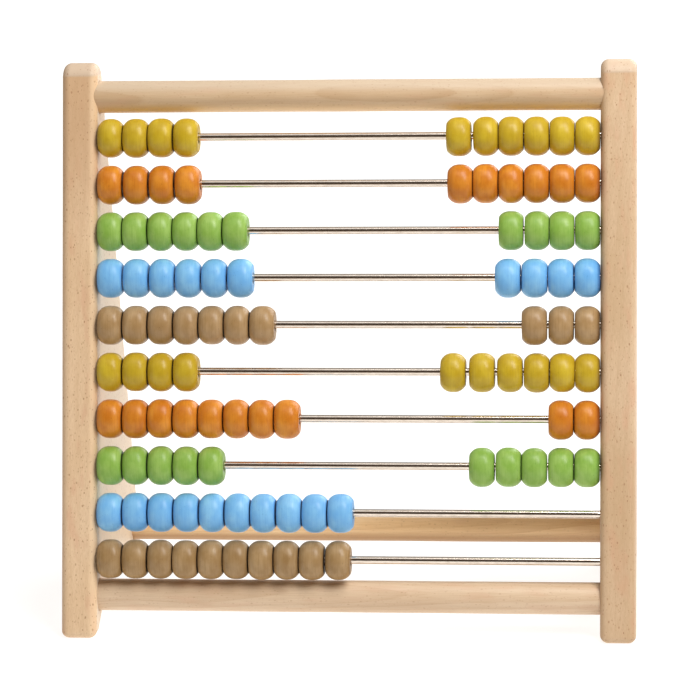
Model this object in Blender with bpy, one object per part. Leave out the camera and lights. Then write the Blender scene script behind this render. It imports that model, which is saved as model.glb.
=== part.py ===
"""Ten-row counting abacus with a free-standing A-shaped wooden frame.

Metres, +Z up. X runs along the wires, -Y is the side the beads are read from.
The origin is on the floor, at the middle of the abacus.

The two side panels are tapered boards that lean together at the top. The
wires lie one above the other in a plane that follows the front edges of the
panels, so that plane leans back. A point of that plane is given by S, the
distance up the front edge from the floor, and B, the distance behind that
edge, square to it.
"""

import math

import bmesh
import bpy
from mathutils import Vector

# ------------------------------------------------------------ driving sizes

MM = 0.001

WIDTH = 294.0 * MM            # over the two side panels
HEIGHT = 286.6 * MM
DEPTH = 150.0 * MM            # at the floor
LEAN = math.radians(13.3)     # of the front edge back and of the rear edge forward

PANEL_THICKNESS = 18.4 * MM
PANEL_ROUNDOVER = 4.2 * MM    # along every edge of the board's two faces
NOSE_CREASE = math.radians(12.0)   # where the rounded top meets a sloping edge
FOOT_LENGTH = 11.0 * MM       # flat length of each foot, front to back
FOOT_CORNER_RADIUS = 3.0 * MM
ARCH_RISE = 18.5 * MM         # of the cut-out between the two feet

RAIL_RADIUS = 8.25 * MM
RAIL_SOCKET_DEPTH = 10.0 * MM
TOP_RAIL_S = 278.8 * MM
TOP_RAIL_B = 9.2 * MM
FRONT_RAIL_S = 22.5 * MM
FRONT_RAIL_B = 12.0 * MM
REAR_RAIL_Y = 53.0 * MM
REAR_RAIL_Z = 23.8 * MM

ROWS = 10
FIRST_WIRE_S = 257.6 * MM     # the top wire
WIRE_PITCH = 24.0 * MM
WIRE_B = 5.5 * MM
WIRE_RADIUS = 2.0 * MM
WIRE_SOCKET_DEPTH = 8.0 * MM

BEAD_LENGTH = 12.9 * MM       # along the wire
BEAD_RADIUS = 10.0 * MM
BEAD_END_RADIUS = 6.3 * MM    # of the flat end face
BEAD_BORE_RADIUS = 2.65 * MM
BEAD_SHOULDER = 3.9 * MM      # from the end face to the full radius

FIT = 0.35 * MM               # clearance round a rail or a wire in its socket
END_FIT = 0.4 * MM            # clearance at the bottom of a socket
REST_GAP = 0.3 * MM           # a bead against its neighbour, or against a panel
NECK_FROM = 0.62 * MM         # a wider gap inside a run of beads is bridged by a neck

# For each row: colour, gaps between the beads pushed to the left in mm, and
# gaps between the beads pushed to the right. A side with n gaps has n + 1
# beads, and the last two rows hold all their beads on the left.
ROW_TABLE = (
    ("mustard", (0.3,) * 3, (0.5, 0.0, 0.0, 0.0, 0.0)),
    ("orange", (0.6,) * 3, (0.0, 0.0, 0.0, 0.0, 0.0)),
    ("green", (0.15,) * 5, (0.0, 0.0, 0.0)),
    ("blue", (0.55,) * 5, (0.4, 0.5, 0.4)),
    ("brown", (0.2,) * 6, (0.7, 0.3)),
    ("mustard", (0.2,) * 3, (1.1, 0.85, 0.55, 0.35, 0.45)),
    ("orange", (0.15,) * 7, (0.0,)),
    ("green", (0.2,) * 4, (0.6, 0.0, 0.7, 0.4)),
    ("blue", (0.3,) * 8, None),
    ("brown", (0.12,) * 8, None),
)
END_BEAD_GAP = {9: 0.3, 10: 1.0}   # before the last bead of a full row, in mm

RAIL_SIDES = 24
WIRE_SIDES = 12
BEAD_SIDES = 12
ROUNDOVER_STEPS = 3
ARCH_STEPS = 18
TOP_STEPS = 10
CORNER_STEPS = 3

INNER_X = WIDTH / 2 - PANEL_THICKNESS   # inner face of the right panel


# ------------------------------------------------------------ geometry rules

def plane_point(s, b):
    """(y, z) of the point at S and B in the leaning plane."""
    return (
        -DEPTH / 2 + s * math.sin(LEAN) + b * math.cos(LEAN),
        s * math.cos(LEAN) - b * math.sin(LEAN),
    )


def arc(centre, radius, start, end, steps):
    """Points on an arc, in (y, z), from the start angle to the end angle."""
    points = []
    for i in range(steps + 1):
        angle = start + (end - start) * i / steps
        points.append((centre[0] + radius * math.cos(angle), centre[1] + radius * math.sin(angle)))
    return points


def panel_outline(inset):
    """The board's side outline moved inwards by inset, as (y, z), counter-clockwise seen from +X."""
    half = DEPTH / 2
    # Top nose: an arc to the overall height that meets both sloping edges at a slight crease.
    nose = (half * math.cos(LEAN) - HEIGHT * math.sin(LEAN)) / (math.cos(NOSE_CREASE) - math.sin(LEAN))
    nose_centre = (0.0, HEIGHT - nose)
    nose_end = LEAN + math.acos((nose * math.cos(NOSE_CREASE) - inset) / (nose - inset))
    # Foot corners: arcs that touch a sloping edge and the floor.
    radius = max(FOOT_CORNER_RADIUS - inset, 0.3 * MM)
    corner_z = inset + radius
    corner_y = half - ((inset + radius) + corner_z * math.sin(LEAN)) / math.cos(LEAN)
    # Arch between the feet: one arc through both foot ends and its crown.
    half_span = half - FOOT_LENGTH
    arch = (half_span ** 2 + ARCH_RISE ** 2) / (2 * ARCH_RISE)
    arch_centre = (0.0, ARCH_RISE - arch)
    arch += inset
    start_y = math.sqrt(arch ** 2 - (inset - arch_centre[1]) ** 2)
    swing = math.asin(start_y / arch)
    points = arc((-corner_y, corner_z), radius, math.pi - LEAN, 1.5 * math.pi, CORNER_STEPS)
    points += arc(arch_centre, arch, math.pi / 2 + swing, math.pi / 2 - swing, ARCH_STEPS)
    points += arc((corner_y, corner_z), radius, -math.pi / 2, LEAN, CORNER_STEPS)
    points += arc(nose_centre, nose - inset, nose_end, math.pi - nose_end, TOP_STEPS)
    return points


def bead_starts(count, gaps, start):
    """Left end of each bead of a group whose first bead starts at start."""
    starts = [start]
    for i in range(count - 1):
        starts.append(starts[-1] + BEAD_LENGTH + gaps[i] * MM)
    return starts


# ------------------------------------------------------------ scene helpers

def clear_scene():
    for obj in list(bpy.data.objects):
        bpy.data.objects.remove(obj, do_unlink=True)


def make_material(name, colour, roughness, metallic=0.0):
    material = bpy.data.materials.new(name)
    material.use_nodes = True
    shader = material.node_tree.nodes["Principled BSDF"]
    shader.inputs["Base Color"].default_value = (*colour, 1.0)
    shader.inputs["Roughness"].default_value = roughness
    shader.inputs["Metallic"].default_value = metallic
    material.diffuse_color = (*colour, 1.0)
    return material


def add_object(name, bm, location, material, smooth=True):
    bmesh.ops.recalc_face_normals(bm, faces=bm.faces)
    mesh = bpy.data.meshes.new(name)
    bm.to_mesh(mesh)
    bm.free()
    if smooth:
        mesh.shade_smooth()
        mesh.set_sharp_from_angle(angle=math.radians(35))
    mesh.materials.append(material)
    obj = bpy.data.objects.new(name, mesh)
    obj.location = location
    bpy.context.scene.collection.objects.link(obj)
    return obj


def skin(bm, loops):
    """Joins rings of equal length by quads and closes the first and the last ring."""
    rings = [[bm.verts.new(point) for point in loop] for loop in loops]
    count = len(rings[0])
    for a, b in zip(rings, rings[1:]):
        for i in range(count):
            j = (i + 1) % count
            bm.faces.new((a[i], a[j], b[j], b[i]))
    bm.faces.new(rings[0])
    bm.faces.new(rings[-1])


def turned_ring(x, radius, sides):
    """A ring of points round the X axis."""
    return [
        Vector((x, radius * math.cos(2 * math.pi * i / sides), radius * math.sin(2 * math.pi * i / sides)))
        for i in range(sides)
    ]


def bar_along_x(bm, start, end, radius, sides, chamfer=0.0, at=(0.0, 0.0)):
    """A round bar along X with its ends optionally chamfered."""
    sections = [(start, radius), (end, radius)]
    if chamfer:
        sections = [
            (start, radius - chamfer), (start + chamfer, radius),
            (end - chamfer, radius), (end, radius - chamfer),
        ]
    move = Vector((0.0, at[0], at[1]))
    skin(bm, [[point + move for point in turned_ring(x, r, sides)] for x, r in sections])


# ------------------------------------------------------------ frame pieces

def build_panel(name, side, material, sockets):
    """One side board. side is +1 for the right one, and sockets lists (y, z, radius, depth, sides)."""
    bm = bmesh.new()
    half = PANEL_THICKNESS / 2
    loops = []
    for i in range(ROUNDOVER_STEPS + 1):
        angle = math.pi / 2 * i / ROUNDOVER_STEPS
        inset = PANEL_ROUNDOVER * (1 - math.sin(angle))
        x = half - PANEL_ROUNDOVER * (1 - math.cos(angle))
        loops.append([(x, y, z) for y, z in panel_outline(inset)])
    mirrored = [[(-x, y, z) for x, y, z in loop] for loop in reversed(loops)]
    skin(bm, loops + mirrored)
    centre_x = side * (WIDTH / 2 - half)
    panel = add_object(name, bm, (centre_x, 0.0, 0.0), material)

    # Blind sockets for the rails and the wires, bored from the inner face.
    bm = bmesh.new()
    inner = -side * half
    for y, z, radius, depth, sides in sockets:
        ends = sorted((inner - side * 3 * MM, inner + side * depth))
        bar_along_x(bm, ends[0], ends[1], radius, sides, at=(y, z))
    cutter = add_object(name + "_socket_cutter", bm, (centre_x, 0.0, 0.0), material, smooth=False)
    cutter.hide_render = True
    cutter.display_type = "WIRE"
    bore = panel.modifiers.new("sockets", "BOOLEAN")
    bore.operation = "DIFFERENCE"
    bore.solver = "EXACT"
    bore.object = cutter
    return panel


def build_rail(name, y, z, material):
    bm = bmesh.new()
    end = INNER_X + RAIL_SOCKET_DEPTH - END_FIT
    bar_along_x(bm, -end, end, RAIL_RADIUS, RAIL_SIDES, chamfer=0.8 * MM)
    return add_object(name, bm, (0.0, y, z), material)


def build_wire(name, y, z, material):
    bm = bmesh.new()
    end = INNER_X + WIRE_SOCKET_DEPTH - END_FIT
    bar_along_x(bm, -end, end, WIRE_RADIUS, WIRE_SIDES, chamfer=0.4 * MM)
    return add_object(name, bm, (0.0, y, z), material)


def build_beads(name, starts, y, z, material):
    """A run of barrel-shaped beads that touch end to end, with one bore through them all.

    The origin is on the wire's centre line, at the left end of the run.
    """
    profile = []
    for start in starts:
        at = start - starts[0]
        if profile and at - profile[-1][0] < NECK_FROM:
            profile.pop()
        profile += [
            (at, BEAD_END_RADIUS),
            (at + BEAD_SHOULDER, BEAD_RADIUS),
            (at + BEAD_LENGTH - BEAD_SHOULDER, BEAD_RADIUS),
            (at + BEAD_LENGTH, BEAD_END_RADIUS),
        ]
    bm = bmesh.new()
    outer = [[bm.verts.new(p) for p in turned_ring(x, r, BEAD_SIDES)] for x, r in profile]
    bore = [[bm.verts.new(p) for p in turned_ring(x, BEAD_BORE_RADIUS, BEAD_SIDES)] for x in (profile[0][0], profile[-1][0])]
    rings = outer + bore[::-1]
    for a, b in zip(rings, rings[1:] + rings[:1]):
        for i in range(BEAD_SIDES):
            j = (i + 1) % BEAD_SIDES
            bm.faces.new((a[i], a[j], b[j], b[i]))
    return add_object(name, bm, (starts[0], y, z), material)


# ------------------------------------------------------------ assembly

def main():
    clear_scene()
    bpy.context.scene.unit_settings.system = "METRIC"
    bpy.context.scene.unit_settings.scale_length = 1.0

    beech = make_material("side_panel_beech", (0.74, 0.55, 0.37), 0.55)
    rail_beech = make_material("rail_beech", (0.78, 0.60, 0.42), 0.5)
    steel = make_material("polished_steel_wire", (0.72, 0.70, 0.66), 0.18, 1.0)
    lacquers = {
        "mustard": make_material("mustard_bead_lacquer", (0.58, 0.42, 0.04), 0.32),
        "orange": make_material("orange_bead_lacquer", (0.68, 0.22, 0.03), 0.32),
        "green": make_material("green_bead_lacquer", (0.27, 0.50, 0.08), 0.32),
        "blue": make_material("blue_bead_lacquer", (0.19, 0.46, 0.86), 0.32),
        "brown": make_material("brown_bead_lacquer", (0.33, 0.21, 0.12), 0.32),
    }

    rails = {
        "top_rail": plane_point(TOP_RAIL_S, TOP_RAIL_B),
        "front_bottom_rail": plane_point(FRONT_RAIL_S, FRONT_RAIL_B),
        "rear_bottom_rail": (REAR_RAIL_Y, REAR_RAIL_Z),
    }
    wires = [plane_point(FIRST_WIRE_S - WIRE_PITCH * i, WIRE_B) for i in range(ROWS)]

    sockets = [(y, z, RAIL_RADIUS + FIT, RAIL_SOCKET_DEPTH, RAIL_SIDES) for y, z in rails.values()]
    sockets += [(y, z, WIRE_RADIUS + FIT, WIRE_SOCKET_DEPTH, WIRE_SIDES) for y, z in wires]
    build_panel("left_side_panel", -1, beech, sockets)
    build_panel("right_side_panel", +1, beech, sockets)
    for name, (y, z) in rails.items():
        build_rail(name, y, z, rail_beech)

    for row, ((y, z), (colour, left_gaps, right_gaps)) in enumerate(zip(wires, ROW_TABLE), 1):
        label = f"row_{row:02d}"
        build_wire(f"{label}_wire", y, z, steel)
        left_count = len(left_gaps) + 1
        left = bead_starts(left_count, left_gaps, -INNER_X + REST_GAP)
        if right_gaps is None:
            build_beads(f"{label}_beads", left, y, z, lacquers[colour])
            last = left[-1] + BEAD_LENGTH + END_BEAD_GAP[row] * MM
            build_beads(f"{label}_end_bead", [last], y, z, lacquers[colour])
            continue
        build_beads(f"{label}_left_beads", left, y, z, lacquers[colour])
        right_count = len(right_gaps) + 1
        length = right_count * BEAD_LENGTH + sum(right_gaps) * MM
        right = bead_starts(right_count, right_gaps, INNER_X - REST_GAP - length)
        build_beads(f"{label}_right_beads", right, y, z, lacquers[colour])


main()
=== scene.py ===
"""Looks of the ten-row counting abacus: finely turned beads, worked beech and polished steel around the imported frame."""
import math
import random

import bmesh
import bpy
from mathutils import Matrix, Vector


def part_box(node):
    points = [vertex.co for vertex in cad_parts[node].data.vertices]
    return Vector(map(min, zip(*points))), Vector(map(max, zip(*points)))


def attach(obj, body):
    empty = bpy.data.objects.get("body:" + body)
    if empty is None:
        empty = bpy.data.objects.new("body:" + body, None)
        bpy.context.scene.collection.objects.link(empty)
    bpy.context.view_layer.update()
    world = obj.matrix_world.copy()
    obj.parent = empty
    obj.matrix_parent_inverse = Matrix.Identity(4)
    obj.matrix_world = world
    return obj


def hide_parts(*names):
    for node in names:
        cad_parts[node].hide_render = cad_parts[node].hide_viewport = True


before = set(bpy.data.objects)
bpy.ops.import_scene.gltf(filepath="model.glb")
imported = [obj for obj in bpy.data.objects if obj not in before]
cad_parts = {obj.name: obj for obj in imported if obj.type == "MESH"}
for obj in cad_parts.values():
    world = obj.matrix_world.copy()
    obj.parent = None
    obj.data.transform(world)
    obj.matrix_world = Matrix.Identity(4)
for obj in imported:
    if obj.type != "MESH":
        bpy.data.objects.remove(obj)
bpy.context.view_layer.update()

MM = 0.001

# ------------------------------------------------------------ sizes, as the frame has them

WIDTH = 294.0
HEIGHT = 286.6
DEPTH = 150.0
LEAN = math.radians(13.3)
PANEL_THICKNESS = 18.4
PANEL_ROUNDOVER = 4.2
NOSE_CREASE = math.radians(12.0)
FOOT_LENGTH = 11.0
FOOT_CORNER_RADIUS = 3.0
ARCH_RISE = 18.5
RAIL_RADIUS = 8.25
RAIL_SOCKET_DEPTH = 10.0
WIRE_RADIUS = 2.0
WIRE_SOCKET_DEPTH = 8.0
BEAD_LENGTH = 12.9
BEAD_RADIUS = 10.0
BEAD_BORE_RADIUS = 2.65
REST_GAP = 0.3
INNER_X = WIDTH / 2 - PANEL_THICKNESS

ROW_TABLE = (
    ("mustard", (0.3,) * 3, (0.5, 0.0, 0.0, 0.0, 0.0)),
    ("orange", (0.6,) * 3, (0.0, 0.0, 0.0, 0.0, 0.0)),
    ("green", (0.15,) * 5, (0.0, 0.0, 0.0)),
    ("blue", (0.55,) * 5, (0.4, 0.5, 0.4)),
    ("brown", (0.2,) * 6, (0.7, 0.3)),
    ("mustard", (0.2,) * 3, (1.1, 0.85, 0.55, 0.35, 0.45)),
    ("orange", (0.15,) * 7, (0.0,)),
    ("green", (0.2,) * 4, (0.6, 0.0, 0.7, 0.4)),
    ("blue", (0.3,) * 8, None),
    ("brown", (0.12,) * 8, None),
)
END_BEAD_GAP = {9: 0.3, 10: 1.0}
OPEN_RUNS = {                           # middle and length of single beads that stand apart
    "row_01_right_beads": ((56.85, 12.50), (70.58, 12.62), (83.43, 12.62), (96.31, 12.64), (109.20, 12.66), (122.10, 12.68)),
    "row_03_right_beads": ((83.45, 12.35), (96.55, 12.25), (109.18, 12.45), (122.10, 12.62)),
    "row_04_right_beads": ((81.95, 12.95), (95.35, 13.05), (108.75, 13.05), (122.00, 13.06)),
    "row_06_right_beads": ((54.15, 12.80), (68.85, 12.80), (83.00, 12.80), (96.50, 12.75), (109.43, 12.62), (122.18, 12.48)),
    "row_07_right_beads": ((108.80, 12.50), (121.82, 13.38)),
    "row_08_right_beads": ((68.81, 12.80), (82.31, 12.80), (95.30, 12.90), (108.90, 12.88), (122.00, 12.92)),
}
SETTLED = {1: 0.15, 2: 0.15, 3: 0.12}   # how much closer the single beads of a left run sit than in the frame's run


def centre_of(node):
    """(y, z) in mm of the axis of a round bar along X."""
    low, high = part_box(node)
    return (low.y + high.y) / 2 / MM, (low.z + high.z) / 2 / MM


# ------------------------------------------------------------ node helpers

class Nodes:
    """Short names for the shader nodes used here."""

    def __init__(self, material):
        self.tree = material.node_tree
        self.tree.nodes.clear()

    def new(self, kind, **settings):
        node = self.tree.nodes.new(kind)
        for key, value in settings.items():
            setattr(node, key, value)
        return node

    def put(self, socket, value):
        if isinstance(value, bpy.types.NodeSocket):
            self.tree.links.new(value, socket)
        elif value is not None:
            socket.default_value = value

    def place(self):
        """Block coordinates in mm, with the third axis along the grain."""
        return self.new("ShaderNodeAttribute", attribute_name="gpos", attribute_type="GEOMETRY").outputs["Vector"]

    def split(self, vector):
        node = self.new("ShaderNodeSeparateXYZ")
        self.put(node.inputs[0], vector)
        return node.outputs[0], node.outputs[1], node.outputs[2]

    def join(self, x, y, z):
        node = self.new("ShaderNodeCombineXYZ")
        for socket, value in zip(node.inputs, (x, y, z)):
            self.put(socket, value)
        return node.outputs[0]

    def scaled(self, vector, scale, move=(0.0, 0.0, 0.0)):
        node = self.new("ShaderNodeMapping")
        self.put(node.inputs["Vector"], vector)
        node.inputs["Scale"].default_value = scale
        node.inputs["Location"].default_value = move
        return node.outputs[0]

    def noise(self, vector, scale=1.0, detail=2.0, roughness=0.5, distortion=0.0):
        node = self.new("ShaderNodeTexNoise")
        self.put(node.inputs["Vector"], vector)
        node.inputs["Scale"].default_value = scale
        node.inputs["Detail"].default_value = detail
        node.inputs["Roughness"].default_value = roughness
        node.inputs["Distortion"].default_value = distortion
        return node.outputs[0]

    def cells(self, vector, randomness=1.0, feature="F1"):
        node = self.new("ShaderNodeTexVoronoi", feature=feature)
        self.put(node.inputs["Vector"], vector)
        node.inputs["Scale"].default_value = 1.0
        node.inputs["Randomness"].default_value = randomness
        return node.outputs["Distance"], node.outputs["Color"]

    def math(self, operation, a, b=None, c=None):
        node = self.new("ShaderNodeMath", operation=operation)
        for socket, value in zip(node.inputs, (a, b, c)):
            self.put(socket, value)
        return node.outputs[0]

    def ramp(self, value, low, high, to_low=0.0, to_high=1.0):
        node = self.new("ShaderNodeMapRange", interpolation_type="SMOOTHSTEP")
        self.put(node.inputs[0], value)
        for socket, number in zip(list(node.inputs)[1:5], (low, high, to_low, to_high)):
            socket.default_value = number
        return node.outputs[0]

    def mix(self, factor, a, b, blend="MIX"):
        node = self.new("ShaderNodeMix", data_type="RGBA", blend_type=blend)
        sockets = [s for s in node.inputs if s.type == "RGBA"]
        self.put(node.inputs[0], factor)
        self.put(sockets[0], a)
        self.put(sockets[1], b)
        return [s for s in node.outputs if s.type == "RGBA"][0]

    def bump(self, height, strength, distance, normal=None):
        node = self.new("ShaderNodeBump")
        node.inputs["Strength"].default_value = strength
        node.inputs["Distance"].default_value = distance
        self.put(node.inputs["Height"], height)
        if normal is not None:
            self.put(node.inputs["Normal"], normal)
        return node.outputs[0]

    def finish(self, **inputs):
        shader = self.new("ShaderNodeBsdfPrincipled")
        for name, value in inputs.items():
            self.put(shader.inputs[name.replace("_", " ")], value)
        output = self.new("ShaderNodeOutputMaterial")
        self.tree.links.new(shader.outputs[0], output.inputs[0])


def new_material(name):
    material = bpy.data.materials.new(name)
    material.use_nodes = True
    return material, Nodes(material)


def rgb(r, g, b):
    """Linear colour of an 8-bit sRGB one."""
    return tuple((c / 12.92 if c <= 0.04045 else ((c + 0.055) / 1.055) ** 2.4) for c in (r / 255, g / 255, b / 255)) + (1.0,)


# ------------------------------------------------------------ materials

def beech(name, pale, mid, deep, pith, ring_width, fleck=1.0, blotch=1.0, figure=1.0, roughness=(0.50, 0.62), darker_end=None, edge=None, crown=None, bands=(), sides=()):
    """Steamed beech under a thin clear coat: weak growth rings round a pith line, short dark rays, soft pinkish patches."""
    material, n = new_material(name)
    p = n.place()

    # Growth rings: distance from a pith line outside the board, wandering along the grain.
    wander = n.new("ShaderNodeTexNoise")
    n.put(wander.inputs["Vector"], n.scaled(p, (0.018, 0.018, 0.0045)))
    wander.inputs["Scale"].default_value = 1.0
    wander.inputs["Detail"].default_value = 2.0
    shift = n.new("ShaderNodeVectorMath", operation="MULTIPLY_ADD")
    n.put(shift.inputs[0], wander.outputs["Color"])
    shift.inputs[1].default_value = (26.0, 26.0, 0.0)
    n.put(shift.inputs[2], p)
    x, y, z = n.split(shift.outputs[0])
    dx = n.math("SUBTRACT", x, pith[0])
    dy = n.math("SUBTRACT", y, pith[1])
    lean = n.math("MULTIPLY", z, pith[2])
    radius = n.math("ADD", n.math("SQRT", n.math("ADD", n.math("MULTIPLY", dx, dx), n.math("MULTIPLY", dy, dy))), lean)
    turns = n.math("DIVIDE", radius, ring_width)
    part = n.math("FRACT", turns)
    late = n.math("POWER", part, 3.0)
    late = n.math("MULTIPLY", late, n.ramp(part, 0.93, 1.0, 1.0, 0.0))
    ring_tone = n.noise(n.join(n.math("FLOOR", turns), 0.0, n.math("MULTIPLY", z, 0.004)), 1.7, 1.0)

    # Fine fibres along the grain.
    fibre = n.noise(n.scaled(p, (2.6, 2.6, 0.075)), 1.0, 3.0, 0.6)
    fibre_fine = n.noise(n.scaled(p, (7.0, 7.0, 0.16), (3.1, 7.7, 1.3)), 1.0, 2.0, 0.6)
    broad = n.noise(n.scaled(p, (0.055, 0.055, 0.014), (11.0, 3.0, 5.0)), 1.0, 3.0, 0.55)
    patch = n.noise(n.scaled(p, (0.16, 0.16, 0.05), (1.0, 9.0, 4.0)), 1.0, 2.0, 0.5)

    tone = n.mix(n.ramp(broad, 0.30, 0.72), pale, mid)
    tone = n.mix(n.math("MULTIPLY", late, 0.50 * figure), tone, deep)
    tone = n.mix(n.ramp(ring_tone, 0.35, 0.75, 0.0, 0.22 * figure), tone, deep)
    tone = n.mix(n.ramp(fibre, 0.36, 0.70, 0.0, 0.30), tone, deep)
    tone = n.mix(n.ramp(fibre_fine, 0.42, 0.78, 0.0, 0.22), tone, deep)
    tone = n.mix(n.ramp(patch, 0.50, 0.74, 0.0, 0.30 * blotch), tone, rgb(212, 160, 128))
    if darker_end:                                   # the board grows darker towards one end along its length
        tone = n.mix(n.ramp(n.split(p)[2], *darker_end), tone, deep)
    for limits, colour in bands:                # painted light and shade round a dowel by height: a paler, greyer painted sheen on top, brighter painted bounce light or painted shade underneath
        tone = n.mix(n.ramp(n.split(p)[1], *limits), tone, colour)
    for limits, colour in sides:                # painted light across a board's thickness: lighter towards the face the light falls on, with a paler painted sheen on that face
        tone = n.mix(n.ramp(n.split(p)[0], *limits), tone, colour)
    if crown:                                   # painted sheen: the top above the crease turns paler and greyer
        tone = n.mix(n.ramp(n.split(p)[2], *crown), tone, rgb(204, 184, 162))
    if edge:                                    # painted shade: the long roundover on the side away from the light darkens
        tone = n.mix(n.ramp(n.split(p)[0], *edge), tone, deep)

    # Rays: short dark spindles a millimetre or two long, in some of the cells only.
    wobble = n.noise(n.scaled(p, (0.9, 0.9, 0.3), (2.0, 4.0, 6.0)), 1.0, 1.0)
    px, py, pz = n.split(p)
    moved = n.join(n.math("MULTIPLY_ADD", wobble, 0.5, px), n.math("MULTIPLY_ADD", wobble, 0.5, py), pz)
    distance, cell = n.cells(n.scaled(moved, (0.60, 0.60, 0.34)))
    pick, size, depth = n.split(cell)
    core = n.math("SUBTRACT", 1.0, n.math("DIVIDE", distance, n.ramp(size, 0.0, 1.0, 0.15, 0.30)))
    spot = n.math("MULTIPLY", n.ramp(core, 0.0, 0.55), n.ramp(pick, 0.22, 0.28))
    spot = n.math("MULTIPLY", spot, n.ramp(depth, 0.0, 1.0, 0.26, 0.90))
    distance2, cell2 = n.cells(n.scaled(moved, (0.90, 0.90, 0.52), (5.3, 1.9, 8.1)))
    pick2, size2, depth2 = n.split(cell2)
    core2 = n.math("SUBTRACT", 1.0, n.math("DIVIDE", distance2, n.ramp(size2, 0.0, 1.0, 0.16, 0.34)))
    spot2 = n.math("MULTIPLY", n.ramp(core2, 0.0, 0.6), n.ramp(pick2, 0.18, 0.24))
    spot2 = n.math("MULTIPLY", spot2, n.ramp(depth2, 0.0, 1.0, 0.20, 0.75))
    rays = n.math("MAXIMUM", spot, spot2)
    colour = n.mix(n.math("MULTIPLY", rays, 0.72 * fleck), tone, rgb(150, 92, 52))

    relief = n.math("SUBTRACT", n.math("MULTIPLY", fibre, 0.5), n.math("MULTIPLY", rays, 0.6))
    ripple = n.noise(n.scaled(p, (0.10, 0.10, 0.05)), 1.0, 2.0)
    normal = n.bump(ripple, 0.22, 1.2 * MM)
    normal = n.bump(relief, 0.35, 0.10 * MM, normal)
    rough = n.math("ADD", n.ramp(fibre, 0.3, 0.75, roughness[0], roughness[1]), n.math("MULTIPLY", rays, 0.10))
    n.finish(Base_Color=colour, Roughness=rough, Normal=normal, IOR=1.45, Specular_IOR_Level=0.45,
             Coat_Weight=0.22, Coat_Roughness=0.34)
    return material


def lacquer(name, light, body, dark, pore_stain_and_painted_shade, roughness=(0.34, 0.46), coat=0.46):
    """Stained and lacquered turned wood: tool lines run round the bead, grain and pores show faintly through the colour."""
    material, n = new_material(name)
    p = n.place()
    x, y, z = n.split(p)
    tint = n.new("ShaderNodeAttribute", attribute_name="tint", attribute_type="GEOMETRY").outputs["Fac"]
    along = n.math("ADD", n.math("MULTIPLY", z, 1.0), n.math("MULTIPLY", tint, 37.0))
    # z runs along the wire: streaks at one z go right round.
    lines = n.noise(n.join(n.math("MULTIPLY", x, 0.07), n.math("MULTIPLY", y, 0.07), n.math("MULTIPLY", along, 2.7)), 1.0, 3.0, 0.62)
    fine = n.noise(n.join(n.math("MULTIPLY", x, 0.16), n.math("MULTIPLY", y, 0.16), n.math("MULTIPLY", along, 7.5)), 1.0, 2.0, 0.6)
    cloud = n.noise(n.join(n.math("MULTIPLY", x, 0.10), n.math("MULTIPLY", y, 0.10), n.math("MULTIPLY", along, 0.16)), 1.0, 3.0, 0.55)
    # A few pores of the wood, short and dark, under the colour.
    distance, cell = n.cells(n.join(n.math("MULTIPLY", x, 0.62), n.math("MULTIPLY", y, 0.62), n.math("MULTIPLY", along, 1.35)))
    pick, size, depth = n.split(cell)
    core = n.math("SUBTRACT", 1.0, n.math("DIVIDE", distance, n.ramp(size, 0.0, 1.0, 0.14, 0.30)))
    pores = n.math("MULTIPLY", n.math("MULTIPLY", n.ramp(core, 0.0, 0.6), n.ramp(pick, 0.55, 0.62)), n.ramp(depth, 0.0, 1.0, 0.15, 0.6))

    tone = n.mix(n.ramp(cloud, 0.30, 0.72), body, light)
    tone = n.mix(n.ramp(lines, 0.40, 0.74, 0.0, 0.26), tone, dark)
    tone = n.mix(n.ramp(fine, 0.44, 0.76, 0.0, 0.13), tone, dark)
    tone = n.mix(n.ramp(fine, 0.50, 0.24, 0.0, 0.12), tone, light)
    tone = n.mix(n.math("MULTIPLY", pores, 0.55), tone, pore_stain_and_painted_shade)
    tone = n.mix(n.ramp(tint, 0.0, 1.0, 0.0, 0.24), tone, dark)
    # Painted shade: the colour darkens towards both ends, darker still on an end face that meets the next bead (painted
    # seam shade) and broadly on an end against a side board (painted shadow of the board); the bore's mouth and inside
    # are dark brown.
    radial = n.math("SQRT", n.math("ADD", n.math("MULTIPLY", x, x), n.math("MULTIPLY", y, y)))
    end = n.math("ABSOLUTE", z)
    meets = n.new("ShaderNodeAttribute", attribute_name="meets", attribute_type="GEOMETRY").outputs["Fac"]
    seam_shade = n.ramp(meets, 0.3, 0.9)
    board_shadow = n.ramp(meets, 1.1, 1.9)
    tone = n.mix(n.ramp(end, 5.2, 6.3, 0.0, 0.35), tone, dark)
    tone = n.mix(n.math("MULTIPLY", n.ramp(end, 6.02, 6.30, 0.0, 0.90), seam_shade), tone, pore_stain_and_painted_shade)
    tone = n.mix(n.math("MULTIPLY", n.ramp(end, 3.4, 5.9, 0.0, 0.70), board_shadow), tone, dark)
    tone = n.mix(n.math("MULTIPLY", n.ramp(end, 4.6, 6.3, 0.0, 0.64), board_shadow), tone, pore_stain_and_painted_shade)
    tone = n.mix(n.ramp(radial, 3.3, 2.75, 0.0, 0.85), tone, rgb(70, 48, 30))

    height = n.math("ADD", n.math("MULTIPLY", lines, 0.8), n.math("MULTIPLY", fine, 0.35))
    height = n.math("SUBTRACT", height, n.math("MULTIPLY", pores, 0.5))
    normal = n.bump(height, 0.30, 0.10 * MM)
    swell = n.noise(n.scaled(p, (0.22, 0.22, 0.30)), 1.0, 1.0)
    coat_normal = n.bump(n.math("ADD", swell, n.math("MULTIPLY", lines, 0.16)), 0.30, 0.55 * MM)
    rough = n.math("ADD", n.ramp(lines, 0.3, 0.75, roughness[0], roughness[1]), n.ramp(end, 5.9, 6.3, 0.0, 0.40))
    n.finish(Base_Color=tone, Roughness=rough, Normal=normal, IOR=1.5, Specular_IOR_Level=0.07,
             Coat_Weight=coat, Coat_Roughness=0.31, Coat_Normal=coat_normal)
    return material


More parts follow.
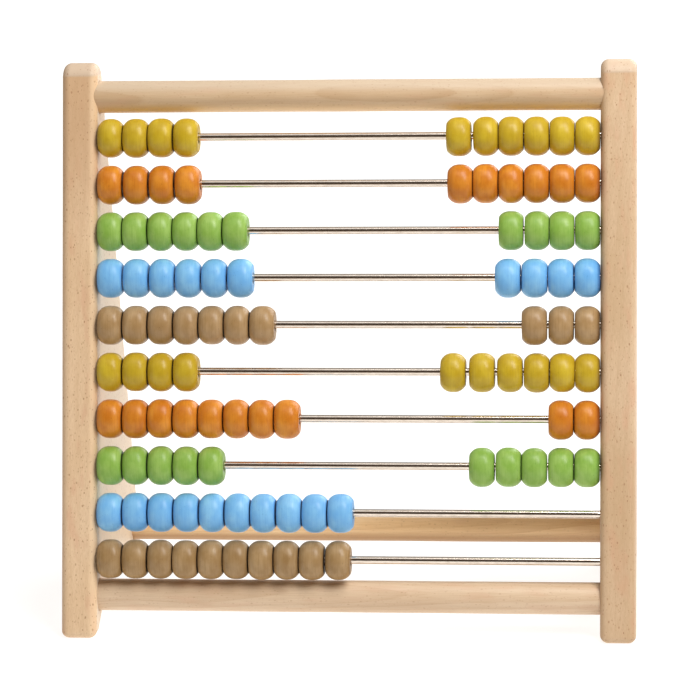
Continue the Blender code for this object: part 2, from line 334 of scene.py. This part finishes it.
def steel(name):
    """Drawn and polished steel wire: fine draw lines along it and a trace of handling marks."""
    material, n = new_material(name)
    p = n.place()
    draw = n.noise(n.scaled(p, (9.0, 9.0, 0.035)), 1.0, 2.0, 0.6)
    marks = n.noise(n.scaled(p, (1.2, 1.2, 0.22), (4.0, 1.0, 2.0)), 1.0, 3.0, 0.6)
    colour = n.mix(n.ramp(marks, 0.35, 0.75), rgb(229, 217, 204), rgb(206, 192, 178))
    rough = n.math("ADD", n.ramp(marks, 0.3, 0.8, 0.165, 0.205), n.ramp(draw, 0.45, 0.8, 0.0, 0.05))
    normal = n.bump(draw, 0.06, 0.02 * MM)
    n.finish(Base_Color=colour, Metallic=1.0, Roughness=rough, Normal=normal)
    return material


# ------------------------------------------------------------ meshes

def finish_object(name, bm, material, body, grain, tint=None, sharp=35.0, weighted=False):
    """Makes a piece of a bmesh given in mm and world place. grain maps a point in mm to block coordinates."""
    mesh = bpy.data.meshes.new(name)
    bm.normal_update()
    bm.to_mesh(mesh)
    bm.free()
    return finish_mesh(name, mesh, material, body, grain, tint, sharp, weighted)


def finish_mesh(name, mesh, material, body, grain, tint=None, sharp=35.0, weighted=False, ends=None):
    places = mesh.attributes.new("gpos", "FLOAT_VECTOR", "POINT")
    values = []
    for v in mesh.vertices:
        values += grain(v.co)
    places.data.foreach_set("vector", values)
    if tint is not None:
        shade = mesh.attributes.new("tint", "FLOAT", "POINT")
        shade.data.foreach_set("value", [tint] * len(mesh.vertices))
    if ends is not None:
        touch = mesh.attributes.new("meets", "FLOAT", "POINT")
        touch.data.foreach_set("value", [ends[0] if values[3 * i + 2] < 0 else ends[1] for i in range(len(mesh.vertices))])
    mesh.transform(Matrix.Scale(MM, 4))
    mesh.materials.clear()
    mesh.materials.append(material)
    mesh.shade_smooth()
    mesh.set_sharp_from_angle(angle=math.radians(sharp))
    obj = bpy.data.objects.new(name, mesh)
    bpy.context.scene.collection.objects.link(obj)
    if weighted:
        smooth = obj.modifiers.new("face_weighted_normals", "WEIGHTED_NORMAL")
        smooth.keep_sharp = True
        smooth.weight = 90
    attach(obj, body)
    return obj


def ring_x(x, radius, count, at, turn=0.0):
    return [
        Vector((x, at[0] + radius * math.cos(turn + 2 * math.pi * i / count), at[1] + radius * math.sin(turn + 2 * math.pi * i / count)))
        for i in range(count)
    ]


def skin(bm, loops, cap=True, closed=False):
    rings = [[bm.verts.new(point) for point in loop] for loop in loops]
    pairs = list(zip(rings, rings[1:])) + ([(rings[-1], rings[0])] if closed else [])
    for a, b in pairs:
        for i in range(len(a)):
            j = (i + 1) % len(a)
            bm.faces.new((a[i], a[j], b[j], b[i]))
    if cap:
        bm.faces.new(rings[0])
        bm.faces.new(rings[-1])
    bmesh.ops.recalc_face_normals(bm, faces=bm.faces)


def arc(centre, radius, start, end, steps):
    return [
        (centre[0] + radius * math.cos(start + (end - start) * i / steps), centre[1] + radius * math.sin(start + (end - start) * i / steps))
        for i in range(steps + 1)
    ]


def line_points(a, b, steps):
    """Points between two, without the ends."""
    return [(a[0] + (b[0] - a[0]) * i / steps, a[1] + (b[1] - a[1]) * i / steps) for i in range(1, steps)]


def panel_outline(inset):
    """The board's side outline moved inwards by inset, as (y, z) in mm."""
    half = DEPTH / 2
    nose = (half * math.cos(LEAN) - HEIGHT * math.sin(LEAN)) / (math.cos(NOSE_CREASE) - math.sin(LEAN))
    nose_centre = (0.0, HEIGHT - nose)
    nose_end = LEAN + math.acos((nose * math.cos(NOSE_CREASE) - inset) / (nose - inset))
    radius = max(FOOT_CORNER_RADIUS - inset, 0.3)
    corner_z = inset + radius
    corner_y = half - ((inset + radius) + corner_z * math.sin(LEAN)) / math.cos(LEAN)
    half_span = half - FOOT_LENGTH
    arch = (half_span ** 2 + ARCH_RISE ** 2) / (2 * ARCH_RISE)
    arch_centre = (0.0, ARCH_RISE - arch)
    arch += inset
    start_y = math.sqrt(arch ** 2 - (inset - arch_centre[1]) ** 2)
    swing = math.asin(start_y / arch)
    rear_foot = arc((corner_y, corner_z), radius, -math.pi / 2, LEAN, 10)
    front_foot = arc((-corner_y, corner_z), radius, math.pi - LEAN, 1.5 * math.pi, 10)
    top = arc(nose_centre, nose - inset, nose_end, math.pi - nose_end, 32)
    points = front_foot
    points += arc(arch_centre, arch, math.pi / 2 + swing, math.pi / 2 - swing, 72)
    points += rear_foot
    points += line_points(rear_foot[-1], top[0], 12)
    points += top
    points += line_points(top[-1], front_foot[0], 12)
    return points


def build_panel(name, side, material, bars):
    """A side board with blind sockets for the bars, each (y, z, radius, depth)."""
    half = PANEL_THICKNESS / 2
    centre = side * (WIDTH / 2 - half)
    steps = 12
    loops = []
    for i in range(steps + 1):
        angle = math.pi / 2 * i / steps
        inset = PANEL_ROUNDOVER * (1 - math.sin(angle))
        x = half - PANEL_ROUNDOVER * (1 - math.cos(angle))
        loops.append([Vector((centre + x, y, z)) for y, z in panel_outline(inset)])
    mirrored = [[Vector((2 * centre - p.x, p.y, p.z)) for p in loop] for loop in reversed(loops)]
    bm = bmesh.new()
    skin(bm, loops + mirrored)
    mesh = bpy.data.meshes.new(name + "_blank")
    bm.to_mesh(mesh)
    bm.free()
    blank = bpy.data.objects.new(name + "_blank", mesh)
    bpy.context.scene.collection.objects.link(blank)

    bm = bmesh.new()
    inner = centre - side * half
    for y, z, radius, depth in bars:
        # A broken edge at the mouth of each socket.
        lead = 0.25
        sections = [(inner - side * 3.0, radius + lead), (inner, radius + lead), (inner + side * lead, radius), (inner + side * depth, radius)]
        sections = sections if side > 0 else sections[::-1]
        skin(bm, [ring_x(x, r, 64 if radius > 4 else 32, (y, z)) for x, r in sections])
    cutter_mesh = bpy.data.meshes.new(name + "_drill")
    bm.to_mesh(cutter_mesh)
    bm.free()
    cutter = bpy.data.objects.new(name + "_drill", cutter_mesh)
    bpy.context.scene.collection.objects.link(cutter)
    bore = blank.modifiers.new("sockets", "BOOLEAN")
    bore.operation = "DIFFERENCE"
    bore.solver = "EXACT"
    bore.object = cutter
    bpy.context.view_layer.update()
    graph = bpy.context.evaluated_depsgraph_get()
    bored = bpy.data.meshes.new_from_object(blank.evaluated_get(graph))
    bored.name = name + "_board"
    for obj in (blank, cutter):
        bpy.data.objects.remove(obj, do_unlink=True)

    # The grain follows the board's length; each board is cut from its own place in the log.
    shift = (0.0, 0.0, 0.0) if side < 0 else (160.0, -70.0, 420.0)
    lean = -0.5 * math.sin(LEAN)

    def grain(p):
        return (p.x - centre + shift[0], p.y + lean * p.z + shift[1], p.z + shift[2])

    obj = finish_mesh(name + "_board", bored, material, "frame", grain, sharp=40.0, weighted=True)
    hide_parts(name)
    return obj


def build_rail(node, material, seed, shift):
    y, z = centre_of(node)
    low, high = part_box(node)
    end = high.x / MM
    bm = bmesh.new()
    sections = []
    stations = [-end, -end + 0.25, -end + 0.8]
    body = [-end + 0.8 + (2 * end - 1.6) * i / 60 for i in range(1, 60)]
    stations += body + [end - 0.8, end - 0.25, end]
    for x in stations:
        from_end = end - abs(x)
        chamfer = 0.8 * (1 - min(from_end / 0.8, 1.0)) ** 1.6
        # A sanded dowel is never quite true: a few hundredths of a millimetre of waver.
        waver = 0.035 * math.sin(x * 0.047 + seed) + 0.02 * math.sin(x * 0.113 + 2.1 * seed)
        sections.append((x, RAIL_RADIUS - 0.06 - chamfer + waver))
    skin(bm, [ring_x(x, r, 96, (y, z)) for x, r in sections])

    def grain(p):
        return (p.y - y + shift[0], p.z - z + shift[1], p.x + shift[2])

    obj = finish_object(node + "_dowel", bm, material, "frame", grain, sharp=40.0)
    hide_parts(node)
    return obj


def build_wire(node, material, index):
    y, z = centre_of(node)
    low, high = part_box(node)
    end = high.x / MM
    bm = bmesh.new()
    sections = [(-end, WIRE_RADIUS - 0.4), (-end + 0.15, WIRE_RADIUS - 0.14), (-end + 0.4, WIRE_RADIUS)]
    for i in range(1, 24):
        sections.append((-end + 0.4 + (2 * end - 0.8) * i / 24, WIRE_RADIUS))
    sections += [(end - 0.4, WIRE_RADIUS), (end - 0.15, WIRE_RADIUS - 0.14), (end, WIRE_RADIUS - 0.4)]
    skin(bm, [ring_x(x, r, 64, (y, z)) for x, r in sections])

    def grain(p):
        return (p.y - y + 9.0 * index, p.z - z, p.x + 300.0 * index)

    obj = finish_object(node + "_rod", bm, material, "frame", grain, sharp=50.0)
    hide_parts(node)
    return obj


# Barrel of a turned bead: a superellipse cut off square, its corner eased.
BARREL_REACH = 7.55
BARREL_POWER = 2.5


def barrel_radius(x, fullness=0.0):
    power = BARREL_POWER + fullness
    return BEAD_RADIUS * (1 - (abs(x) / BARREL_REACH) ** power) ** (1 / power)


def bead_profile(length, fullness, ease=1.45):
    """(x, r) from the bore's left mouth over the barrel to its right mouth, x from the bead's middle."""
    half = length / 2
    lip = 0.45                                  # eased mouth of the bore
    edge_x = half - ease * 0.85                 # where the barrel leaves for the end face
    edge_r = barrel_radius(edge_x, fullness)
    slope = (barrel_radius(edge_x + 0.01, fullness) - barrel_radius(edge_x - 0.01, fullness)) / 0.02
    right = []
    count = 22
    for i in range(count + 1):
        x = edge_x * math.sin(math.pi / 2 * i / count)
        right.append((x, barrel_radius(x, fullness)))
    # A quadratic ease from the barrel's tangent to the flat face.
    face_r = edge_r + slope * (half - edge_x) - 0.55
    knee = (half, edge_r + slope * (half - edge_x))
    for i in range(1, 9):
        t = i / 8
        x = (1 - t) ** 2 * edge_x + 2 * t * (1 - t) * knee[0] + t * t * half
        r = (1 - t) ** 2 * edge_r + 2 * t * (1 - t) * knee[1] + t * t * face_r
        right.append((x, r))
    right.append((half - 0.02, (face_r + BEAD_BORE_RADIUS + lip) / 2))
    for i in range(0, 5):
        angle = math.pi / 2 * i / 4
        right.append((half - 0.03 - lip * (1 - math.cos(angle)), BEAD_BORE_RADIUS + lip * (1 - math.sin(angle))))
    left = [(-x, r) for x, r in reversed(right[1:])]
    return left + right


def build_bead(name, start, y, z, material, body, rng, lean_to, placed, ends):
    """One bead whose left end is at start, in mm. It hangs a little low on its wire, each in its own way.

    ends says what its left and right ends meet: 0 nothing, 1 the next bead, 1.4 or 2 a side board.
    """
    length = BEAD_LENGTH - rng.uniform(0.15, 0.22)
    middle = start + BEAD_LENGTH / 2 + lean_to
    if placed:
        middle, length = placed
    profile = bead_profile(length, rng.uniform(-0.12, 0.16))
    size = 1.006 - rng.uniform(0.0, 0.008)
    bm = bmesh.new()
    count = 72
    wave_a, wave_b = rng.uniform(0, 6.28), rng.uniform(0, 6.28)
    loops = []
    for x, r in profile:
        loop = []
        for i in range(count):
            angle = 2 * math.pi * i / count
            turned = r
            if r > BEAD_BORE_RADIUS + 0.5:
                turned = r * size * (1 - 0.0022 * (1 + math.sin(2 * angle + wave_a)) - 0.0012 * (1 + math.sin(3 * angle + wave_b)))
            loop.append(Vector((x, turned * math.cos(angle), turned * math.sin(angle))))
        loops.append(loop)
    skin(bm, loops, cap=False, closed=True)
    # Tilt within the play of the bore, and drop.
    tilt = Matrix.Rotation(math.radians(rng.uniform(-0.7, 0.7)), 3, "Y") @ Matrix.Rotation(math.radians(rng.uniform(-0.6, 0.6)), 3, "Z")
    spin = Matrix.Rotation(rng.uniform(0, 2 * math.pi), 3, "X")
    drop = rng.uniform(0.28, 0.46)
    fore = rng.uniform(-0.12, 0.12)
    places = []
    for v in bm.verts:
        spun = spin @ v.co
        places.append((v.co.y, v.co.z, v.co.x))
        v.co = (tilt @ spun) + Vector((middle, y + fore, z - drop))
    mesh = bpy.data.meshes.new(name)
    bm.normal_update()
    bm.to_mesh(mesh)
    bm.free()
    order = iter(places)

    def grain(p):
        return next(order)

    return finish_mesh(name, mesh, material, body, grain, tint=rng.random(), sharp=60.0, ends=ends)


def bead_starts(count, gaps, start):
    starts = [start]
    for i in range(count - 1):
        starts.append(starts[-1] + BEAD_LENGTH + gaps[i])
    return starts


# ------------------------------------------------------------ the object

panel_wood_left = beech("beech_left_board", rgb(236, 206, 170), rgb(226, 193, 154), rgb(194, 154, 114), (-260.0, 40.0, 0.03), 5.6, blotch=1.4, figure=0.32, darker_end=(185.0, 255.0, 0.0, 0.60), edge=(-6.2, -9.2, 0.0, 0.65), crown=(280.2, 281.6, 0.0, 0.75),
    # painted light on the inner half and a painted sheen on the inner face
    sides=(((3.9, 7.0, 0.0, 0.45), rgb(242, 211, 171)), ((8.95, 9.15, 0.0, 0.55), rgb(236, 222, 202))))
panel_wood_right = beech("beech_right_board", rgb(221, 192, 158), rgb(208, 177, 140), rgb(180, 143, 105), (430.0, -120.0, 0.03), 5.0, blotch=1.4, figure=0.32, darker_end=(560.0, 450.0, 0.0, 0.26), edge=(153.8, 150.8, 0.0, 0.65), crown=(700.3, 701.5, 0.0, 0.60),
    # painted sheen on the outer face
    sides=(((167.8, 169.0, 0.0, 0.35), rgb(230, 212, 190)),))
rail_wood = beech("beech_dowel", rgb(228, 203, 173), rgb(217, 188, 156), rgb(194, 157, 120), (-30.0, 22.0, 0.04), 3.0, fleck=0.45, blotch=0.7, figure=0.8, roughness=(0.42, 0.54))
# The top dowel: painted sheen on its upper side, painted bounce light on its lower side.
top_rail_wood = beech("beech_top_dowel", rgb(217, 190, 156), rgb(204, 175, 139), rgb(186, 148, 108), (-30.0, 22.0, 0.04), 3.0, fleck=0.45, blotch=0.7, figure=0.8, roughness=(0.42, 0.54),
    bands=(((1.8, 6.8, 0.0, 0.60), rgb(200, 183, 161)), ((-1.0, -6.5, 0.0, 0.85), rgb(242, 206, 158))))
# The rear dowel is a lightened copy of the dowel beech, painted light where it stands in shade, with painted shade
# along its underside.
rear_rail_wood = beech("beech_rear_dowel", rgb(254, 222, 174), rgb(248, 210, 158), rgb(210, 163, 112), (-30.0, 22.0, 0.04), 3.0, fleck=0.45, blotch=0.5, figure=0.8, roughness=(0.42, 0.54),
    bands=(((-74.0, -79.0, 0.0, 0.85), rgb(170, 125, 78)),))
wire_steel = steel("polished_steel")

# Each lacquer: light, body and dark tones, then the pore colour, which also paints the seam shade and the shadow of a
# side board.
lacquers = {
    "mustard": lacquer("mustard_lacquer", rgb(208, 181, 52), rgb(190, 159, 31), rgb(160, 125, 26), rgb(78, 56, 16)),
    "orange": lacquer("orange_lacquer", rgb(224, 148, 50), rgb(201, 118, 29), rgb(170, 88, 20), rgb(84, 38, 12)),
    "green": lacquer("green_lacquer", rgb(158, 193, 100), rgb(134, 175, 73), rgb(102, 146, 50), rgb(42, 64, 22)),
    "blue": lacquer("blue_lacquer", rgb(144, 202, 240), rgb(118, 182, 234), rgb(76, 148, 216), rgb(30, 72, 126)),
    # A darker copy of the brown lacquer for the lowest row: painted shade for that row.
    "brown_low": lacquer("brown_lacquer_lowest_row", rgb(178, 147, 105), rgb(156, 123, 79), rgb(122, 90, 51), rgb(48, 33, 20)),
    "brown": lacquer("brown_lacquer", rgb(186, 154, 112), rgb(166, 132, 88), rgb(128, 96, 56), rgb(48, 33, 20)),
}

rails = ("top_rail", "front_bottom_rail", "rear_bottom_rail")
wires = [f"row_{i:02d}_wire" for i in range(1, 11)]
sockets = [(*centre_of(r), RAIL_RADIUS + 0.16, RAIL_SOCKET_DEPTH) for r in rails]
sockets += [(*centre_of(w), WIRE_RADIUS + 0.15, WIRE_SOCKET_DEPTH) for w in wires]

build_panel("left_side_panel", -1, panel_wood_left, sockets)
build_panel("right_side_panel", +1, panel_wood_right, sockets)
for i, rail in enumerate(rails):
    build_rail(rail, {"top_rail": top_rail_wood, "rear_bottom_rail": rear_rail_wood}.get(rail, rail_wood), 1.0 + 1.7 * i, (9.0 * i, -37.0 * i, 510.0 * i))
for i, wire in enumerate(wires):
    build_wire(wire, wire_steel, i)

for row, (colour, left_gaps, right_gaps) in enumerate(ROW_TABLE, 1):
    rng = random.Random(1000 + row)
    closer = SETTLED.get(row, 0.0)
    left_gaps = tuple(gap - closer for gap in left_gaps)
    label = f"row_{row:02d}"
    y, z = centre_of(f"{label}_wire")
    runs = []
    left = bead_starts(len(left_gaps) + 1, left_gaps, -INNER_X + REST_GAP)
    if right_gaps is None:
        runs.append((f"{label}_beads", left))
        runs.append((f"{label}_end_bead", [left[-1] + BEAD_LENGTH + END_BEAD_GAP[row]]))
    else:
        runs.append((f"{label}_left_beads", left))
        length = (len(right_gaps) + 1) * BEAD_LENGTH + sum(right_gaps)
        runs.append((f"{label}_right_beads", bead_starts(len(right_gaps) + 1, right_gaps, INNER_X - REST_GAP - length)))
    number = 0
    for node, starts in runs:
        lean_to = 0.26 if "_right_" in node else -0.16
        if node == "row_10_end_bead":
            lean_to = -0.60
        for i, start in enumerate(starts):
            number += 1
            placed = OPEN_RUNS[node][i] if node in OPEN_RUNS else None
            first, last = i == 0, i == len(starts) - 1
            on_left = "_right_" not in node and "_end_" not in node
            gaps = left_gaps if on_left else right_gaps
            # ends sets the painted shade on each end: 1 where a bead meets the next, 0.5 weaker across an open gap, 1.4
            # and 2 add the painted shadow of the left and right side board, the right one darker.
            ends = (
                (1.4 if on_left else 0.0) if first else (1.0 if gaps[i - 1] < 0.45 else 0.5),
                (2.0 if "_right_" in node else 0.0) if last else (1.0 if gaps[i] < 0.45 else 0.5),
            )
            if right_gaps is None:              # ten in one run: the ninth and the tenth meet
                ends = (1.0 if "_end_" in node else ends[0], 0.0 if "_end_" in node else 1.0)
            bead = build_bead(f"{label}_{colour}_bead_{number:02d}", start, y, z, lacquers["brown_low" if row == 10 else colour], node, rng, lean_to, placed, ends)
            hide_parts(node)

# ------------------------------------------------------------ stage, light and camera

def stage_plane(name, size, at, material):
    bm = bmesh.new()
    bmesh.ops.create_grid(bm, x_segments=2, y_segments=2, size=size / 2)
    mesh = bpy.data.meshes.new(name)
    bm.to_mesh(mesh)
    bm.free()
    mesh.materials.append(material)
    obj = bpy.data.objects.new(name, mesh)
    obj.location = at
    bpy.context.scene.collection.objects.link(obj)
    return obj


floor_paint, n = new_material("pale_floor")
floor_place = n.new("ShaderNodeTexCoord").outputs["Object"]
grainy = n.noise(floor_place, 40.0, 3.0)
far = n.ramp(n.split(floor_place)[1], 0.35, 1.5)
n.finish(Base_Color=n.mix(n.ramp(grainy, 0.3, 0.7), (0.34, 0.34, 0.338, 1.0), (0.36, 0.36, 0.358, 1.0)), Roughness=0.85,
         Emission_Color=(1.0, 0.995, 0.985, 1.0), Emission_Strength=n.math("MULTIPLY_ADD", far, 0.18, 0.84))
stage_plane("floor", 16.0, (0.0, 0.0, -0.0002), floor_paint)


def reflected_card(name, colour, size, at, turn=(0.0, 0.0, 0.0)):
    """A card of the studio that takes fill light off the front and shows in the polished wires, but not to the camera."""
    cloth, n = new_material(name)
    n.finish(Base_Color=colour, Roughness=0.95)
    card = stage_plane(name, 2.0, at, cloth)
    card.scale = (size[0] / 2, size[1] / 2, 1.0)
    card.rotation_euler = tuple(math.radians(v) for v in turn)
    card.visible_camera = False
    card.visible_shadow = False
    card.visible_transmission = False
    return card


DARK = (0.085, 0.052, 0.030, 1.0)
DIM = (0.46, 0.39, 0.33, 1.0)
reflected_card("dark_cloth_in_front", DARK, (3.6, 3.2), (0.0, -2.2, 1.55), (90, 0, 0))
reflected_card("dark_cloth_on_floor", DIM, (3.6, 1.75), (0.0, -1.325, 0.001))

world = bpy.data.worlds.new("studio")
world.use_nodes = True
bpy.context.scene.world = world
world.node_tree.nodes["Background"].inputs["Color"].default_value = (1.0, 0.995, 0.985, 1.0)
world.node_tree.nodes["Background"].inputs["Strength"].default_value = 0.32


def softbox(name, at, target, size, power, colour=(1.0, 1.0, 1.0)):
    light = bpy.data.lights.new(name, "AREA")
    light.shape = "RECTANGLE"
    light.size, light.size_y = size
    light.energy = power
    light.color = colour
    obj = bpy.data.objects.new(name, light)
    obj.location = at
    obj.rotation_mode = "QUATERNION"
    obj.rotation_quaternion = (Vector(target) - Vector(at)).to_track_quat("-Z", "Y")
    bpy.context.scene.collection.objects.link(obj)
    return obj


softbox("top_softbox", (0.05, -0.05, 1.25), (0.0, 0.0, 0.12), (1.2, 0.8), 2.0, (1.0, 0.995, 0.985))
softbox("front_window", (0.46, -0.51, 1.21), (0.0, 0.0, 0.15), (0.44, 1.0), 16.0, (1.0, 0.98, 0.95))
softbox("back_window", (0.75, 1.00, 0.88), (0.0, 0.0, 0.15), (1.3, 0.9), 12.0, (1.0, 1.0, 1.0))

camera_data = bpy.data.cameras.new("photo_camera")
camera = bpy.data.objects.new("photo_camera", camera_data)
bpy.context.scene.collection.objects.link(camera)
yaw, pitch, roll = 0.09701049, 0.23033961, -0.02093209
target = Vector((-1.914, -2.0, 135.5406)) * MM
forward = Vector((-math.sin(yaw) * math.cos(pitch), math.cos(yaw) * math.cos(pitch), -math.sin(pitch)))
right = Vector((math.cos(yaw), math.sin(yaw), 0.0))
up = right.cross(forward)
turned_right = math.cos(roll) * right + math.sin(roll) * up
turned_up = -math.sin(roll) * right + math.cos(roll) * up
camera.matrix_world = Matrix((
    (turned_right.x, turned_up.x, -forward.x, 0.0),
    (turned_right.y, turned_up.y, -forward.y, 0.0),
    (turned_right.z, turned_up.z, -forward.z, 0.0),
    (0.0, 0.0, 0.0, 1.0),
))
camera.location = target - forward * 1.60
camera_data.sensor_width = 36.0
camera_data.lens = 157.874
camera_data.clip_start, camera_data.clip_end = 0.1, 60.0
bpy.context.scene.camera = camera
bpy.context.scene.view_settings.view_transform = "Standard"
